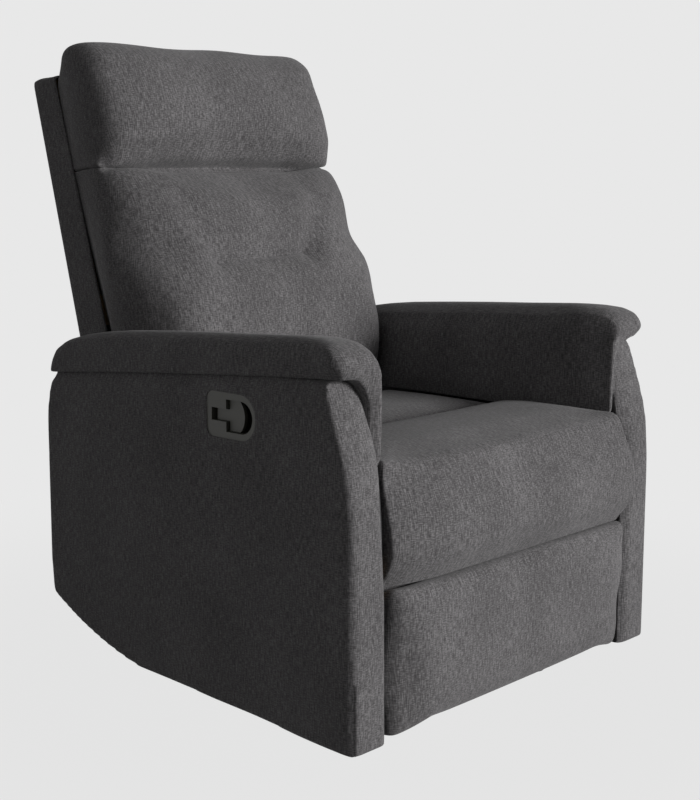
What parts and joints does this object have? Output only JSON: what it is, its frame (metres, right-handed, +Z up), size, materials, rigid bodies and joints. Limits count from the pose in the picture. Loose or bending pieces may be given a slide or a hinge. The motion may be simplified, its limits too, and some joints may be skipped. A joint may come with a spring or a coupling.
{
  "type": "recliner armchair",
  "caption": "Upholstered manual recliner armchair with padded arms, side lever, folding footrest and reclining back on a steel glide base.",
  "frame": {"origin": "on the floor under the middle of the chair", "axes": "+Z up, the chair faces -Y, +X to the sitter's left"},
  "size_m": [0.76, 0.9118, 1.072],
  "materials": {
    "charcoal_fabric": "woven linen-look upholstery",
    "painted_steel": "black satin enamel",
    "zinc": "zinc plated",
    "spring_steel": "oiled spring wire",
    "timber": "raw plywood",
    "black_plastic": "moulded, satin",
    "black_lining": "woven elastic webbing and lining"
  },
  "bodies": {
    "base": {"base_plate_left": "painted_steel", "base_plate_right": "painted_steel", "base_cross_tubes": "painted_steel", "base_glides": "black_plastic", "base_studs": "zinc", "base_pivot_pins": "zinc"},
    "front_swing": {"front_swing_links": "painted_steel"},
    "rear_swing": {"rear_swing_links": "painted_steel"},
    "back_drive": {"back_links": "painted_steel", "back_crank_pins": "zinc"},
    "seat": {"seat_plate_left": "painted_steel", "seat_plate_right": "painted_steel", "seat_side_rails": "timber", "seat_front_rail": "timber", "seat_rear_rail": "timber", "seat_springs": "spring_steel", "seat_spring_clips": "zinc", "rail_bolts": "zinc", "seat_pivot_pins": "zinc", "seat_cushion": "charcoal_fabric", "seat_front_roll": "charcoal_fabric", "arm_inner_panel_left": "timber", "arm_inner_panel_right": "timber", "arm_frame_left": "timber", "arm_frame_right": "timber", "arm_cover_left": "charcoal_fabric", "arm_cover_right": "charcoal_fabric", "arm_pad_left": "charcoal_fabric", "arm_pad_right": "charcoal_fabric", "handle_cup": "black_plastic", "handle_pin": "zinc", "footrest_springs": "spring_steel"},
    "back": {"back_brackets": "painted_steel", "back_posts": "timber", "back_bolts": "zinc", "back_cross_rails": "timber", "back_webbing": "black_lining", "back_shell": "charcoal_fabric", "back_cushion": "charcoal_fabric", "head_cushion": "charcoal_fabric"},
    "handle": {"handle_lever": "black_plastic"},
    "foot_front": {"front_foot_link_left": "painted_steel", "front_foot_link_right": "painted_steel", "drive_tube": "painted_steel", "foot_crank_pins": "zinc"},
    "foot_rear": {"rear_foot_links": "painted_steel"},
    "foot_upper": {"upper_foot_links": "painted_steel", "foot_upper_pins": "zinc"},
    "foot_lower": {"lower_foot_links": "painted_steel", "foot_lower_pins": "zinc"},
    "footrest": {"foot_brackets": "painted_steel", "foot_bracket_pins": "zinc", "footrest_board": "timber", "footrest_pad": "charcoal_fabric", "footrest_bolts": "zinc"}
  },
  "joints": [
    {"name": "recline", "type": "hinge", "parent": "base", "child": "front_swing", "pos_m": [0, -0.05804, 0.10843], "axis": [1, 0, 0], "range_deg": [0, 50]},
    {"name": "rear_swing_turn", "type": "hinge", "parent": "base", "child": "rear_swing", "pos_m": [0, 0.11196, 0.10843], "axis": [1, 0, 0], "range_deg": [0, 50]},
    {"name": "seat_glide", "type": "hinge", "parent": "front_swing", "child": "seat", "pos_m": [0, -0.02, 0.19], "axis": [1, 0, 0], "range_deg": [-50, 0]},
    {"name": "back_drive_turn", "type": "hinge", "parent": "base", "child": "back_drive", "pos_m": [0, 0.16, 0.1445], "axis": [1, 0, 0], "range_deg": [0, 30.25]},
    {"name": "back_recline", "type": "hinge", "parent": "seat", "child": "back", "pos_m": [0, 0.198, 0.39], "axis": [-1, 0, 0], "range_deg": [0, 36]},
    {"name": "footrest_open", "type": "hinge", "parent": "seat", "child": "foot_front", "pos_m": [0, -0.2341, 0.2833], "axis": [-1, 0, 0], "range_deg": [0, 96], "deforming": ["footrest_springs"]},
    {"name": "foot_rear_turn", "type": "hinge", "parent": "seat", "child": "foot_rear", "pos_m": [0, -0.1971, 0.2567], "axis": [-1, 0, 0], "range_deg": [0, 96]},
    {"name": "foot_upper_turn", "type": "hinge", "parent": "foot_front", "child": "foot_upper", "pos_m": [0, -0.0976, 0.1404], "axis": [-1, 0, 0], "range_deg": [-96, 0]},
    {"name": "foot_lower_turn", "type": "hinge", "parent": "foot_front", "child": "foot_lower", "pos_m": [0, -0.0916, 0.1084], "axis": [-1, 0, 0], "range_deg": [-96, 0]},
    {"name": "footrest_turn", "type": "hinge", "parent": "foot_upper", "child": "footrest", "pos_m": [0, -0.3424, 0.2447], "axis": [-1, 0, 0], "range_deg": [0, 96]},
    {"name": "handle_pull", "type": "hinge", "parent": "seat", "child": "handle", "pos_m": [-0.358, -0.15, 0.507], "axis": [0, 0, -1], "range_deg": [0, 40], "stiffness_Nm_per_rad": 0.4, "springref_deg": -11.46}
  ],
  "couplings": [
    {"joint": "rear_swing_turn", "follows": "recline", "ratio": 1},
    {"joint": "seat_glide", "follows": "recline", "ratio": -1},
    {"joint": "back_drive_turn", "follows": "recline", "ratio": 0.605},
    {"joint": "back_recline", "follows": "recline", "ratio": 0.72},
    {"joint": "foot_rear_turn", "follows": "footrest_open", "ratio": 1},
    {"joint": "foot_upper_turn", "follows": "footrest_open", "ratio": -1},
    {"joint": "foot_lower_turn", "follows": "footrest_open", "ratio": -1},
    {"joint": "footrest_turn", "follows": "footrest_open", "ratio": 1}
  ]
}
